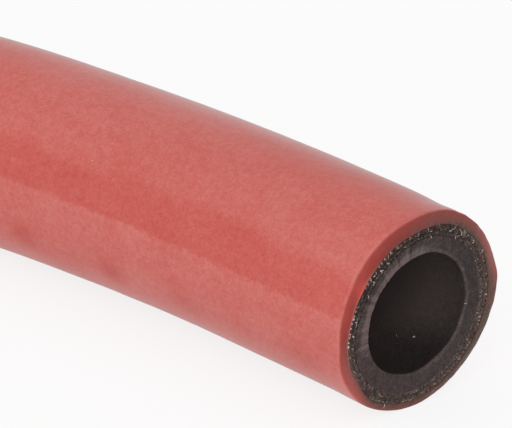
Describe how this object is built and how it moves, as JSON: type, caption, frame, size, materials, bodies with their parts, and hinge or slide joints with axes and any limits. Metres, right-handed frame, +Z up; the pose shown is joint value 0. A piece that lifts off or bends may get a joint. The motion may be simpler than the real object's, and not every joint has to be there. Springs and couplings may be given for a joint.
{
  "type": "rubber gas tubing",
  "caption": "Short length of red reinforced rubber gas hose with a black inner tube and wound yarn plies, cut square at both ends and lying in an easy bend.",
  "frame": {"origin": "centre of the near cut end, on the axis of the bore", "axes": "+X out of the near end along its bore, +Z up from the surface that the hose lies on"},
  "size_m": [0.1475, 0.0623, 0.0164],
  "materials": {
    "red_rubber": "matte, dusty",
    "outer_yarn": "cut textile yarn",
    "inner_yarn": "cut textile yarn, stained dark",
    "black_rubber": "matte"
  },
  "bodies": {
    "root": {"outer_cover": "red_rubber", "outer_yarn_ply": "outer_yarn", "inner_yarn_ply": "inner_yarn", "inner_tube": "black_rubber"}
  },
  "joints": []
}
